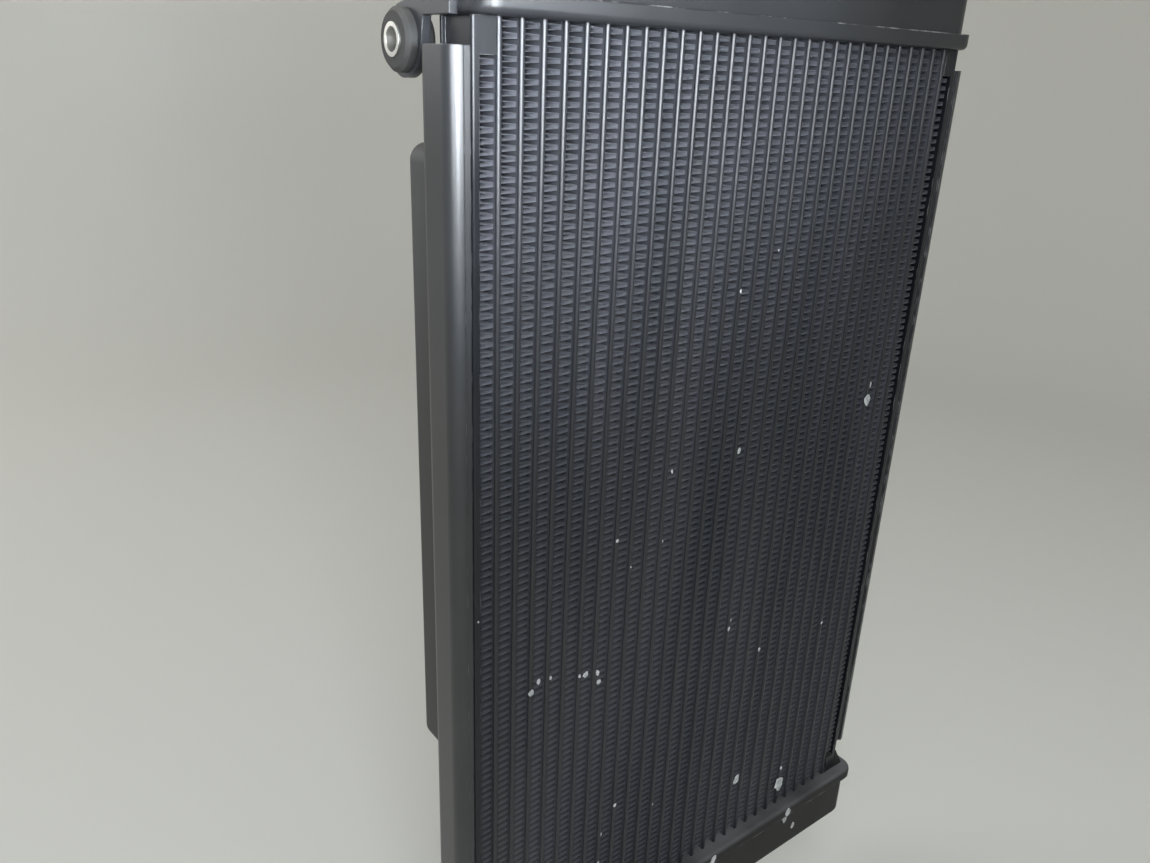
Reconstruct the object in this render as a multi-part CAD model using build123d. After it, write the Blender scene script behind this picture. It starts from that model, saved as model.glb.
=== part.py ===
from build123d import *
from math import cos, radians, sin, tan
import os

# Coolant radiator of a liquid-cooled twin motorcycle, in millimetres.
# X runs along the radiator's width, its front face looks towards -Y, and +Z is up.
# The origin is the centre of the lower mounting eye, midway through the core's depth.

# Core: flat upright tubes with a fin column on both sides of each
TUBE_COUNT = 29
TUBE_PITCH = 7.0
TUBE_THICKNESS = 1.8
TUBE_DEPTH = 16.0
CORE_HEIGHT = 340.0
TUBE_ENTRY = 2.2
FIN_RECESS = 0.8
FIN_END_GAP = 0.8
BRAZE_GAP = 0.05

# Side plates close the core, and posts cover them
SIDE_PLATE_WIDTH = 2.2
SIDE_PLATE_WALL = 1.0
SIDE_PLATE_LIP_RADIUS = 0.7
CORNER_TAB_HEIGHT = 9.1
CORNER_TAB_WALL = 1.2
POST_WIDTH = 6.7
POST_WALL = 1.6
POST_CORNER_RADIUS = 4.0
POST_LIP_WIDTH = 2.3
POST_LIP_STEP = 0.7
POST_LIP_CHAMFER = 0.6
POST_DEPTH_MARGIN = 0.5
POST_TOP_GAP = 7.0
POST_BOTTOM_GAP = 16.0

# Header trays hold the tube ends, and the tanks sit in them
HEADER_LEDGE = 5.5
HEADER_FLOOR = 1.8
HEADER_RIM_HEIGHT = 5.3
HEADER_RIM_WALL = 2.0
HEADER_CORNER_RADIUS = 6.5
HEADER_EDGE_CHAMFER = 1.3
UPPER_HEADER_OVERHANG = 0.7
LOWER_HEADER_OVERHANG = 10.7
GUSSET_THICKNESS = 2.0
GUSSET_WIDTH = 6.7
GUSSET_HEIGHT = 11.0
TANK_WALL = 2.5
TANK_FIT = 0.05
TOP_TANK_HEIGHT = 36.0
BOTTOM_TANK_HEIGHT = 30.0
TOP_TANK_ROUNDING = 8.0
BOTTOM_TANK_ROUNDING = 4.0

# Hose spigots
SPIGOT_RADIUS = 9.0
SPIGOT_WALL = 1.5
SPIGOT_LENGTH = 36.0
SPIGOT_BEAD_RADIUS = 10.0
SPIGOT_BEAD_WIDTH = 3.0
SPIGOT_BEAD_SETBACK = 5.0
SPIGOT_FOOT_RADIUS = 10.2
SPIGOT_FOOT_THICKNESS = 1.5
INLET_X = 62.0
INLET_HEIGHT = 17.0
OUTLET_X = -62.0
OUTLET_DROP = 15.6

# Filler neck with a cam flange, and its quarter-turn cap
NECK_X = -70.0
NECK_HEIGHT = 22.0
NECK_STEM_RADIUS = 9.6
NECK_STEM_HEIGHT = 5.0
NECK_ROOT = 3.5
NECK_CUP_RADIUS = 14.0
NECK_WALL = 1.6
NECK_FLANGE_RADIUS = 18.0
NECK_FLANGE_THICKNESS = 1.8
NIPPLE_RADIUS = 3.5
NIPPLE_BORE_RADIUS = 2.2
NIPPLE_LENGTH = 20.0
NIPPLE_DROP = 13.0
NIPPLE_FOOT_RADIUS = 4.8
NIPPLE_FOOT_LENGTH = 1.2
CAP_CLEARANCE = 0.3
CAP_WALL = 1.4
CAP_SKIRT_HEIGHT = 8.0
CAP_TAB_WIDTH = 9.0
CAP_TAB_THICKNESS = 1.4
CAP_EAR_SPAN = 56.0
CAP_EAR_WIDTH = 15.0
CAP_CROWN_RADIUS = 13.0
CAP_CROWN_HEIGHT = 2.0
NOTCH_MARGIN = 1.5

# Mounting eyes with rubber grommets and steel collars
EYE_RADIUS = 9.5
EYE_HOLE_RADIUS = 6.2
EYE_PLATE = 2.5
SIDE_EYE_Y = 22.0
SIDE_EYE_DROP = 6.0
SIDE_STRAP_LENGTH = 16.0
LOWER_EYE_DROP = 14.0
LOWER_EYE_FOOT = 44.0
GROMMET_RADIUS = 8.2
GROMMET_LENGTH = 9.0
COLLAR_RADIUS = 4.4
COLLAR_BORE_RADIUS = 3.2
COLLAR_LENGTH = 10.0
GROMMET_FIT = 0.02

# Moulded hood behind the core, on four lugs of the side plates
SHROUD_DROP = 32.0
SHROUD_HEIGHT = 204.0
SHROUD_DEPTH = 14.0
SHROUD_WALL = 2.5
SHROUD_POST_OVERLAP = 3.7
SHROUD_CORNER_RADIUS = 5.0
SHROUD_EDGE_RADIUS = 4.0
LUG_WIDTH = 8.0
LUG_HEIGHT = 13.0
LUG_THICKNESS = 1.5
LUG_GAP = 1.0
SHROUD_EAR_THICKNESS = 3.0
SHROUD_EAR_ROUNDING = 3.0

# Fan frame: a ring round the rotor, and arms that carry the motor
ROTOR_RADIUS = 79.0
ROTOR_TIP_GAP = 5.0
ROTOR_CORE_GAP = 7.0
ROTOR_REAR_GAP = 5.5
RING_WALL = 2.5
RING_FLANGE = 6.5
RING_FLANGE_THICKNESS = 2.5
FRAME_EAR_RADIUS = 6.0
FRAME_EAR_OFFSET = 2.5
ARM_COUNT = 4
ARM_LEAN = 45.0
ARM_WIDTH = 7.0
ARM_DEPTH = 5.0
MOTOR_RING_WALL = 4.0

# Fan motor, shaft and rotor
MOTOR_RADIUS = 28.0
MOTOR_LENGTH = 24.0
MOTOR_EDGE_RADIUS = 3.0
MOTOR_EAR_COUNT = 3
MOTOR_EAR_RADIUS = 4.5
MOTOR_EAR_THICKNESS = 2.0
MOTOR_BOSS_RADIUS = 9.0
MOTOR_BOSS_HEIGHT = 3.0
CONNECTOR_WIDTH = 14.0
CONNECTOR_HEIGHT = 9.0
CONNECTOR_LENGTH = 8.0
MOTOR_FIT = 0.05
SHAFT_RADIUS = 4.0
SHAFT_CLEARANCE = 0.05
SHAFT_IN_MOTOR = 12.0
HUB_RADIUS = 27.0
HUB_WALL = 2.5
HUB_DEPTH = 14.0
HUB_EDGE_RADIUS = 3.0
BOSS_RADIUS = 8.0
BLADE_COUNT = 7
BLADE_THICKNESS = 2.0
BLADE_ROOT_CHORD = 17.4
BLADE_MIDDLE_CHORD = 27.0
BLADE_TIP_CHORD = 34.0
BLADE_CAMBER = 0.08

# Blade sections: place from the hub (0) to the tip (1), chord, pitch and sweep in degrees
BLADE_SECTIONS = (
    (0.0, BLADE_ROOT_CHORD, 50.0, 0.0),
    (0.45, BLADE_MIDDLE_CHORD, 36.0, 7.0),
    (1.06, BLADE_TIP_CHORD, 25.0, 20.0),
)

# Places that follow from the sizes
tube_span = (TUBE_COUNT - 1) * TUBE_PITCH
tube_places = [n * TUBE_PITCH - tube_span / 2 for n in range(TUBE_COUNT)]
fin_width = TUBE_PITCH - TUBE_THICKNESS
core_half = tube_span / 2 + TUBE_THICKNESS / 2 + fin_width
plate_half = core_half + SIDE_PLATE_WIDTH
core_front = -TUBE_DEPTH / 2
core_rear = TUBE_DEPTH / 2
tank_underside = LOWER_EYE_DROP
core_bottom = tank_underside + BOTTOM_TANK_HEIGHT
core_top = core_bottom + CORE_HEIGHT
tank_top = core_top + TOP_TANK_HEIGHT
header_depth = TUBE_DEPTH + 2 * HEADER_LEDGE
upper_header_half = plate_half + UPPER_HEADER_OVERHANG
lower_header_half = plate_half + LOWER_HEADER_OVERHANG
tank_inset = HEADER_RIM_WALL + TANK_FIT
tank_rear = header_depth / 2 - tank_inset
flange_top = tank_top + NECK_HEIGHT
flange_underside = flange_top - NECK_FLANGE_THICKNESS
side_eye_z = core_top - SIDE_EYE_DROP
fan_z = core_top - SHROUD_DROP - SHROUD_HEIGHT / 2
shroud_front = core_rear + POST_DEPTH_MARGIN
shroud_rear = shroud_front + SHROUD_DEPTH
lug_reach = SHROUD_HEIGHT / 2 + LUG_GAP + LUG_HEIGHT
ring_radius = ROTOR_RADIUS + ROTOR_TIP_GAP
ring_outer = ring_radius + RING_WALL
rotor_front = core_rear + ROTOR_CORE_GAP
blade_root = HUB_RADIUS - HUB_WALL / 2
blade_depth = max(chord * sin(radians(pitch)) for _, chord, pitch, _ in BLADE_SECTIONS)
rotor_rear = rotor_front + blade_depth
arm_front = rotor_rear + ROTOR_REAR_GAP
arm_rear = arm_front + ARM_DEPTH
motor_front = arm_front - ROTOR_REAR_GAP / 4


def block(x, y, z):
    """A box from three (low, high) pairs."""
    sizes = [high - low for low, high in (x, y, z)]
    middles = [(low + high) / 2 for low, high in (x, y, z)]
    return Pos(*middles) * Box(*sizes)


def mirrored(shape):
    """The same piece on the other side of the radiator."""
    return mirror(shape, about=Plane.YZ)


def tube_profile(growth=0.0):
    """A flat oval, its round noses drawn in flats that touch the same circle."""
    thickness = TUBE_THICKNESS + 2 * growth
    outline = Rectangle(thickness, TUBE_DEPTH + 2 * growth)
    return chamfer(outline.vertices(), thickness * (1 - tan(radians(22.5))) / 2)


def rounded_slab(half_length, depth, radius, low, high):
    """An upright slab with rounded corners, centred over the core."""
    return Pos(0, 0, low) * extrude(RectangleRounded(2 * half_length, depth, radius), high - low)


# Core


def core_tubes():
    low = core_bottom - HEADER_FLOOR - TUBE_ENTRY
    high = core_top + HEADER_FLOOR + TUBE_ENTRY
    tube = Pos(0, 0, low) * extrude(tube_profile(), high - low)
    return [Pos(x, 0, 0) * tube for x in tube_places]


def core_fins():
    """One fin column beside each tube, and one more. The outer two stop at the corner tabs."""
    depth = (core_front + FIN_RECESS, core_rear - FIN_RECESS)
    columns = []
    for n in range(TUBE_COUNT + 1):
        middle = (n - TUBE_COUNT / 2) * TUBE_PITCH
        outer = n in (0, TUBE_COUNT)
        end_gap = FIN_END_GAP + (CORNER_TAB_HEIGHT if outer else 0.0)
        column = block(
            (middle - fin_width / 2, middle + fin_width / 2),
            depth,
            (core_bottom + end_gap, core_top - end_gap),
        )
        columns.append(column)
    return columns


def side_plate():
    """An upright channel that opens outwards. Tabs cover the outer fin column's ends, and lugs
    at the back carry the shroud."""
    depth = (core_front, core_rear)
    height = (core_bottom, core_top)
    plate = block((core_half, plate_half), depth, height)
    inside = (core_front + SIDE_PLATE_WALL, core_rear - SIDE_PLATE_WALL)
    plate -= block((core_half + SIDE_PLATE_WALL, plate_half), inside, height)
    lips = plate.edges().filter_by(Axis.Z).group_by(Axis.X)[-1]
    plate = fillet(lips.sort_by(Axis.Y)[0], SIDE_PLATE_LIP_RADIUS)
    tab_reach = (core_half - fin_width + BRAZE_GAP, core_half)
    for end, inward in ((core_top, -1), (core_bottom, 1)):
        foot = end + inward * CORNER_TAB_HEIGHT
        lip = foot - inward * CORNER_TAB_WALL
        plate += block(tab_reach, (core_front, core_front + CORNER_TAB_WALL), sorted((end, foot)))
        plate += block(tab_reach, depth, sorted((lip, foot)))
    for side in (-1, 1):
        lug_ends = (fan_z + side * (lug_reach - LUG_HEIGHT), fan_z + side * lug_reach)
        plate += block(
            (plate_half - LUG_WIDTH, plate_half),
            (core_rear, core_rear + LUG_THICKNESS),
            sorted(lug_ends),
        )
    return plate


def side_post():
    """A rounded channel brazed over the side plate. Its front lip is stepped back beside the
    plate, and its rear lip is chamfered."""
    outer = plate_half + POST_WIDTH
    front = core_front
    rear = core_rear + POST_DEPTH_MARGIN
    low = core_bottom + POST_BOTTOM_GAP
    high = core_top - POST_TOP_GAP
    post = block((plate_half, outer), (front, rear), (low, high))
    corners = post.edges().filter_by(Axis.Z).group_by(Axis.X)[-1]
    post = fillet(corners, POST_CORNER_RADIUS)
    hollow = block(
        (plate_half, outer - POST_WALL),
        (front + POST_WALL, rear - POST_WALL),
        (low, high),
    )
    inner_corners = hollow.edges().filter_by(Axis.Z).group_by(Axis.X)[-1]
    post -= fillet(inner_corners, POST_CORNER_RADIUS - POST_WALL)
    rear_lip = post.edges().filter_by(Axis.Z).group_by(Axis.X)[0].sort_by(Axis.Y)[-1]
    post = chamfer(rear_lip, POST_LIP_CHAMFER)
    step = (plate_half, plate_half + POST_LIP_WIDTH)
    return post - block(step, (front, front + POST_LIP_STEP), (low, high))


# Headers and tanks


def header(half_length, end, outward):
    """A pressed tray at one end of the core, slotted for the tubes. Its rim stands outward,
    round the tank's foot, and the bend between floor and rim is a chamfer."""
    floor_face = end + outward * HEADER_FLOOR
    rim_edge = end + outward * HEADER_RIM_HEIGHT
    tray = rounded_slab(half_length, header_depth, HEADER_CORNER_RADIUS, *sorted((end, rim_edge)))
    tray = chamfer(tray.edges().group_by(Axis.Z)[0 if outward > 0 else -1], HEADER_EDGE_CHAMFER)
    pocket = rounded_slab(
        half_length - HEADER_RIM_WALL,
        header_depth - 2 * HEADER_RIM_WALL,
        HEADER_CORNER_RADIUS - HEADER_RIM_WALL,
        *sorted((floor_face, rim_edge)),
    )
    tray -= pocket
    low, high = sorted((end, floor_face))
    slot = Pos(0, 0, low) * extrude(tube_profile(BRAZE_GAP), high - low)
    return tray - [Pos(x, 0, 0) * slot for x in tube_places]


def gusset():
    """A small triangle that ties the side plate to the end of the lower header."""
    corners = (
        (plate_half, core_bottom),
        (plate_half + GUSSET_WIDTH, core_bottom),
        (plate_half, core_bottom + GUSSET_HEIGHT),
    )
    outline = make_face(Polyline(*[(x, core_front, z) for x, z in corners], close=True))
    return extrude(outline, GUSSET_THICKNESS, dir=(0, 1, 0))


def tank(half_length, end, outward, height, rounding):
    """A tank shell, open towards the core, with its far edges rounded."""
    seat = end + outward * HEADER_FLOOR
    far = end + outward * height
    radius = HEADER_CORNER_RADIUS
    half = half_length - tank_inset
    depth = header_depth - 2 * tank_inset
    shell = rounded_slab(half, depth, radius, *sorted((seat, far)))
    cavity_end = far - outward * TANK_WALL
    cavity = rounded_slab(
        half - TANK_WALL,
        depth - 2 * TANK_WALL,
        radius - TANK_WALL,
        *sorted((seat, cavity_end)),
    )
    side = -1 if outward > 0 else 0
    shell = fillet(shell.edges().group_by(Axis.Z)[side], rounding)
    cavity = fillet(cavity.edges().group_by(Axis.Z)[side], rounding - TANK_WALL)
    return shell - cavity


def spigot_hole(x, z):
    radius = SPIGOT_RADIUS + TANK_FIT
    return Pos(x, tank_rear, z) * Rot(90, 0, 0) * Cylinder(radius, 4 * TANK_WALL)


def top_tank():
    shell = tank(upper_header_half, core_top, 1, TOP_TANK_HEIGHT, TOP_TANK_ROUNDING)
    shell -= spigot_hole(INLET_X, core_top + INLET_HEIGHT)
    mouth = Cylinder(NECK_STEM_RADIUS - NECK_WALL, 4 * TANK_WALL)
    mouth += Pos(0, 0, -NECK_ROOT) * extrude(Circle(NECK_STEM_RADIUS + TANK_FIT), NECK_ROOT)
    return shell - Pos(NECK_X, 0, tank_top) * mouth


def bottom_tank():
    shell = tank(lower_header_half, core_bottom, -1, BOTTOM_TANK_HEIGHT, BOTTOM_TANK_ROUNDING)
    return shell - spigot_hole(OUTLET_X, core_bottom - OUTLET_DROP)


def spigot(x, z):
    """A hose stub that points rearwards, with a foot on the tank and a bead near its mouth."""
    root = -TANK_WALL
    bead_end = SPIGOT_LENGTH - SPIGOT_BEAD_SETBACK
    bead_start = bead_end - SPIGOT_BEAD_WIDTH
    bore = SPIGOT_RADIUS - SPIGOT_WALL
    outline = Polyline(
        (bore, root),
        (SPIGOT_RADIUS, root),
        (SPIGOT_RADIUS, 0),
        (SPIGOT_FOOT_RADIUS, 0),
        (SPIGOT_RADIUS, SPIGOT_FOOT_THICKNESS),
        (SPIGOT_RADIUS, bead_start),
        (SPIGOT_BEAD_RADIUS, bead_start + SPIGOT_BEAD_WIDTH / 3),
        (SPIGOT_BEAD_RADIUS, bead_end - SPIGOT_BEAD_WIDTH / 3),
        (SPIGOT_RADIUS, bead_end),
        (SPIGOT_RADIUS, SPIGOT_LENGTH),
        (bore, SPIGOT_LENGTH),
        close=True,
    )
    stub = revolve(make_face(outline), Axis.Y)
    return Pos(x, tank_rear, z) * stub


# Filler neck and cap


def filler_neck():
    """A stem that widens to a cup with a cam flange, and an overflow nipple to the rear. Its
    root stands in the tank's roof, as far down as the tank's rounded shoulders need."""
    stem_top = NECK_STEM_HEIGHT
    cup_floor = stem_top + (NECK_CUP_RADIUS - NECK_STEM_RADIUS)
    flange_low = NECK_HEIGHT - NECK_FLANGE_THICKNESS
    outline = Polyline(
        (NECK_STEM_RADIUS - NECK_WALL, -NECK_ROOT),
        (NECK_STEM_RADIUS, -NECK_ROOT),
        (NECK_STEM_RADIUS, stem_top),
        (NECK_CUP_RADIUS, cup_floor),
        (NECK_CUP_RADIUS, flange_low),
        (NECK_FLANGE_RADIUS, flange_low),
        (NECK_FLANGE_RADIUS, NECK_HEIGHT),
        (NECK_CUP_RADIUS - NECK_WALL, NECK_HEIGHT),
        (NECK_CUP_RADIUS - NECK_WALL, cup_floor + NECK_WALL),
        (NECK_STEM_RADIUS - NECK_WALL, stem_top + NECK_WALL),
        close=True,
    )
    neck = revolve(Plane.XZ * make_face(outline), Axis.Z)
    notch_width = CAP_TAB_WIDTH + 2 * NOTCH_MARGIN
    notch_start = NECK_CUP_RADIUS + CAP_CLEARANCE
    for side in (-1, 1):
        notch = block(
            (-notch_width / 2, notch_width / 2),
            sorted((side * notch_start, side * (NECK_FLANGE_RADIUS + NECK_WALL))),
            (flange_low, NECK_HEIGHT),
        )
        neck -= notch
    nipple_z = NECK_HEIGHT - NIPPLE_DROP
    reach = NECK_CUP_RADIUS + NIPPLE_LENGTH
    root = NECK_CUP_RADIUS - NECK_WALL / 2
    along = Plane((0, root, nipple_z), z_dir=(0, 1, 0))
    neck += extrude(along * Circle(NIPPLE_RADIUS), reach - root)
    foot_end = NECK_CUP_RADIUS + NIPPLE_FOOT_LENGTH
    neck += extrude(along * Circle(NIPPLE_FOOT_RADIUS), foot_end - root)
    drilled = Plane((0, NECK_CUP_RADIUS - 2 * NECK_WALL, nipple_z), z_dir=(0, 1, 0))
    neck -= extrude(drilled * Circle(NIPPLE_BORE_RADIUS), NIPPLE_LENGTH + 2 * NECK_WALL)
    return Pos(NECK_X, 0, tank_top) * neck


def cap_shell():
    """A pressed cap with two grip ears. Its two inner tabs hook under the neck's flange."""
    roof_low = flange_top + CAP_CLEARANCE
    roof_high = roof_low + CAP_WALL
    inner_radius = NECK_FLANGE_RADIUS + CAP_CLEARANCE
    outer_radius = inner_radius + CAP_WALL
    skirt_low = roof_low - CAP_SKIRT_HEIGHT
    roof = Circle(outer_radius) + RectangleRounded(CAP_EAR_SPAN, CAP_EAR_WIDTH, CAP_EAR_WIDTH / 3)
    cap = Pos(0, 0, roof_low) * extrude(roof, CAP_WALL)
    crown = Pos(0, 0, roof_high) * extrude(Circle(CAP_CROWN_RADIUS), CAP_CROWN_HEIGHT)
    cap += chamfer(crown.edges().group_by(Axis.Z)[-1], CAP_CROWN_HEIGHT / 2)
    skirt = extrude(Circle(outer_radius) - Circle(inner_radius), CAP_SKIRT_HEIGHT)
    cap += Pos(0, 0, skirt_low) * skirt
    tab_top = flange_underside - CAP_CLEARANCE
    tab_reach = (NECK_CUP_RADIUS + 2 * CAP_CLEARANCE, inner_radius + CAP_WALL / 2)
    for side in (-1, 1):
        cap += block(
            sorted((side * tab_reach[0], side * tab_reach[1])),
            (-CAP_TAB_WIDTH / 2, CAP_TAB_WIDTH / 2),
            (tab_top - CAP_TAB_THICKNESS, tab_top),
        )
    return Pos(NECK_X, 0, 0) * cap


# Mountings


def side_eye():
    """An upright plate on the upper header's end, whose eye stands behind the post."""
    sketch_plane = Plane((upper_header_half, 0, 0), x_dir=(0, 1, 0), z_dir=(1, 0, 0))
    strap_rear = header_depth / 2
    strap_z = core_top + HEADER_RIM_HEIGHT / 2
    strap_middle = strap_rear - SIDE_STRAP_LENGTH / 2
    strap = Pos(strap_middle, strap_z) * Rectangle(SIDE_STRAP_LENGTH, HEADER_RIM_HEIGHT)
    root_width = EYE_PLATE
    root = Pos(strap_rear - root_width / 2, strap_z) * Rectangle(root_width, HEADER_RIM_HEIGHT)
    ring = Pos(SIDE_EYE_Y, side_eye_z) * Circle(EYE_RADIUS)
    outline = strap + make_hull([*root.edges(), *ring.edges()])
    outline -= Pos(SIDE_EYE_Y, side_eye_z) * Circle(EYE_HOLE_RADIUS)
    return extrude(sketch_plane * outline, EYE_PLATE)


def lower_eye():
    """A hanging plate under the bottom tank, with the eye that is the radiator's origin."""
    ring = Circle(EYE_RADIUS)
    foot = Pos(0, tank_underside - EYE_PLATE / 2) * Rectangle(LOWER_EYE_FOOT, EYE_PLATE)
    outline = make_hull([*ring.edges(), *foot.edges()]) - Circle(EYE_HOLE_RADIUS)
    middle = Plane((0, EYE_PLATE / 2, 0), x_dir=(1, 0, 0), z_dir=(0, -1, 0))
    return extrude(middle * outline, EYE_PLATE)


def grommet():
    """A rubber grommet about the Z axis, with a groove for the plate in its middle."""
    bore = COLLAR_RADIUS + GROMMET_FIT
    body = Cylinder(GROMMET_RADIUS, GROMMET_LENGTH)
    body = chamfer(body.edges().filter_by(GeomType.CIRCLE), GROMMET_LENGTH / 8)
    groove = Cylinder(GROMMET_RADIUS, EYE_PLATE + 2 * GROMMET_FIT)
    groove -= Cylinder(EYE_HOLE_RADIUS - GROMMET_FIT, EYE_PLATE + 2 * GROMMET_FIT)
    return body - groove - Cylinder(bore, GROMMET_LENGTH)


def collar():
    return Cylinder(COLLAR_RADIUS, COLLAR_LENGTH) - Cylinder(COLLAR_BORE_RADIUS, COLLAR_LENGTH)


side_eye_place = Pos(upper_header_half + EYE_PLATE / 2, SIDE_EYE_Y, side_eye_z) * Rot(0, 90, 0)
lower_eye_place = Rot(90, 0, 0)


# Fan


def about_fan(shape, y=0.0):
    """Turns a piece made about the Z axis to run rearwards along the fan's axis, from depth y."""
    return Pos(0, y, fan_z) * Rot(-90, 0, 0) * shape


def disc(radius, length, y):
    """A solid disc on the fan's axis that starts at depth y."""
    return about_fan(extrude(Circle(radius), length), y)


def fan_shroud():
    """A shallow hood with a round mouth for the fan, and an ear on each of the core's lugs."""
    half_width = plate_half + SHROUD_POST_OVERLAP
    half_height = SHROUD_HEIGHT / 2
    z = (fan_z - half_height, fan_z + half_height)
    hood = block((-half_width, half_width), (shroud_front, shroud_rear), z)
    hood = fillet(hood.edges().filter_by(Axis.Y), SHROUD_CORNER_RADIUS)
    hood = fillet(hood.edges().group_by(Axis.Y)[-1], SHROUD_EDGE_RADIUS)
    inner_half = half_width - SHROUD_WALL
    inside = block(
        (-inner_half, inner_half),
        (shroud_front, shroud_rear - SHROUD_WALL),
        (z[0] + SHROUD_WALL, z[1] - SHROUD_WALL),
    )
    inside = fillet(inside.edges().filter_by(Axis.Y), SHROUD_CORNER_RADIUS - SHROUD_WALL)
    hood -= inside
    hood -= disc(ring_outer + MOTOR_FIT, SHROUD_DEPTH, shroud_front)
    ear_front = core_rear + LUG_THICKNESS
    ear_root = half_height - SHROUD_CORNER_RADIUS
    for side in (-1, 1):
        ear = block(
            (plate_half - LUG_WIDTH, plate_half),
            (ear_front, ear_front + SHROUD_EAR_THICKNESS),
            sorted((fan_z + side * ear_root, fan_z + side * lug_reach)),
        )
        tip = ear.edges().filter_by(Axis.Y).group_by(Axis.Z)[-1 if side > 0 else 0]
        ear = fillet(tip, SHROUD_EAR_ROUNDING) - inside
        hood += [ear, mirrored(ear)]
    return hood


def fan_frame():
    """A flanged ring in the hood's mouth, whose four arms hold the motor in a smaller ring."""
    ring_front = shroud_rear - SHROUD_WALL
    flange_radius = ring_outer + RING_FLANGE
    ear_places = PolarLocations(flange_radius + FRAME_EAR_OFFSET, ARM_COUNT, ARM_LEAN)
    flange = Circle(flange_radius) + ear_places * Circle(FRAME_EAR_RADIUS)
    frame = about_fan(extrude(flange, RING_FLANGE_THICKNESS), shroud_rear)
    frame += disc(ring_outer, arm_rear - ring_front, ring_front)
    frame -= disc(ring_radius, arm_rear - ring_front, ring_front)
    motor_ring = MOTOR_RADIUS + MOTOR_RING_WALL
    arm_start = motor_ring - MOTOR_RING_WALL / 2
    arm_end = ring_outer - RING_WALL / 2
    arm = Pos((arm_start + arm_end) / 2, 0, ARM_DEPTH / 2)
    arm *= Box(arm_end - arm_start, ARM_WIDTH, ARM_DEPTH)
    for turn in range(ARM_COUNT):
        frame += about_fan(Rot(0, 0, ARM_LEAN + turn * 360 / ARM_COUNT) * arm, arm_front)
    frame += disc(motor_ring, ARM_DEPTH, arm_front)
    return frame - disc(MOTOR_RADIUS + MOTOR_FIT, ARM_DEPTH, arm_front)


def fan_motor():
    """A flat motor can whose ears lie on the frame's inner ring, with a boss and a plug socket."""
    can = extrude(Circle(MOTOR_RADIUS), MOTOR_LENGTH)
    can = fillet(can.edges().group_by(Axis.Z)[-1], MOTOR_EDGE_RADIUS)
    ear_radius = MOTOR_RADIUS + MOTOR_RING_WALL - MOTOR_EAR_RADIUS / 3
    ears = Sketch() + PolarLocations(ear_radius, MOTOR_EAR_COUNT, 90) * Circle(MOTOR_EAR_RADIUS)
    can += Pos(0, 0, arm_rear - motor_front) * extrude(ears, MOTOR_EAR_THICKNESS)
    can += Pos(0, 0, MOTOR_LENGTH) * extrude(Circle(MOTOR_BOSS_RADIUS), MOTOR_BOSS_HEIGHT)
    socket_y = MOTOR_BOSS_RADIUS + CONNECTOR_HEIGHT
    socket_z = MOTOR_LENGTH + CONNECTOR_LENGTH / 2 - MOTOR_EDGE_RADIUS
    socket = Box(CONNECTOR_WIDTH, CONNECTOR_HEIGHT, CONNECTOR_LENGTH)
    can += Pos(0, socket_y, socket_z) * socket
    bore_radius = SHAFT_RADIUS + SHAFT_CLEARANCE
    can -= extrude(Circle(bore_radius), SHAFT_IN_MOTOR + SHAFT_CLEARANCE)
    return about_fan(can, motor_front)


def blade_section(chord):
    """A cambered strip, its middle line an arc that bulges towards the core."""
    half, rise, skin = chord / 2, chord * BLADE_CAMBER, BLADE_THICKNESS / 2
    front = ThreePointArc((-half, skin), (0, rise + skin), (half, skin))
    rear = ThreePointArc((half, -skin), (0, rise - skin), (-half, -skin))
    return make_face([front, Line(front @ 1, rear @ 0), rear, Line(rear @ 1, front @ 0)])


def blade():
    """One swept blade, lofted through sections square to its radius."""
    sections = []
    for place, chord, pitch, sweep in BLADE_SECTIONS:
        radius = blade_root + place * (ROTOR_RADIUS - blade_root)
        turn, lean = radians(sweep), radians(pitch)
        plane = Plane(
            (radius * sin(turn), radius * cos(turn), blade_depth / 2),
            x_dir=(cos(turn) * cos(lean), -sin(turn) * cos(lean), sin(lean)),
            z_dir=(sin(turn), cos(turn), 0),
        )
        sections.append(plane * blade_section(chord))
    return loft(sections, ruled=True)


def fan_rotor():
    hub = extrude(Circle(HUB_RADIUS), HUB_DEPTH)
    hub = fillet(hub.edges().group_by(Axis.Z)[0], HUB_EDGE_RADIUS)
    hub -= Pos(0, 0, HUB_WALL) * extrude(Circle(HUB_RADIUS - HUB_WALL), HUB_DEPTH)
    hub += extrude(Circle(BOSS_RADIUS), HUB_DEPTH)
    trimmed = blade() & extrude(Circle(ROTOR_RADIUS), blade_depth * 2, both=True)
    trimmed -= extrude(Circle(HUB_RADIUS - HUB_WALL), blade_depth * 2, both=True)
    rotor = hub + [Rot(0, 0, n * 360 / BLADE_COUNT) * trimmed for n in range(BLADE_COUNT)]
    rotor -= Pos(0, 0, HUB_WALL) * extrude(Circle(SHAFT_RADIUS + SHAFT_CLEARANCE), HUB_DEPTH)
    return about_fan(rotor, rotor_front)


def fan_shaft():
    start = rotor_front + HUB_WALL
    return disc(SHAFT_RADIUS, motor_front + SHAFT_IN_MOTOR - start, start)


# Pieces by node name


def side_pieces():
    """Pieces that come once on each side of the radiator."""
    pieces = {
        "side_plate": side_plate(),
        "side_post": side_post(),
        "header_gusset": gusset(),
        "upper_eye": side_eye(),
        "upper_grommet": side_eye_place * grommet(),
        "upper_collar": side_eye_place * collar(),
    }
    both = {}
    for name, piece in pieces.items():
        both[name + "_right"] = piece
        both[name + "_left"] = mirrored(piece)
    return both


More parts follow.
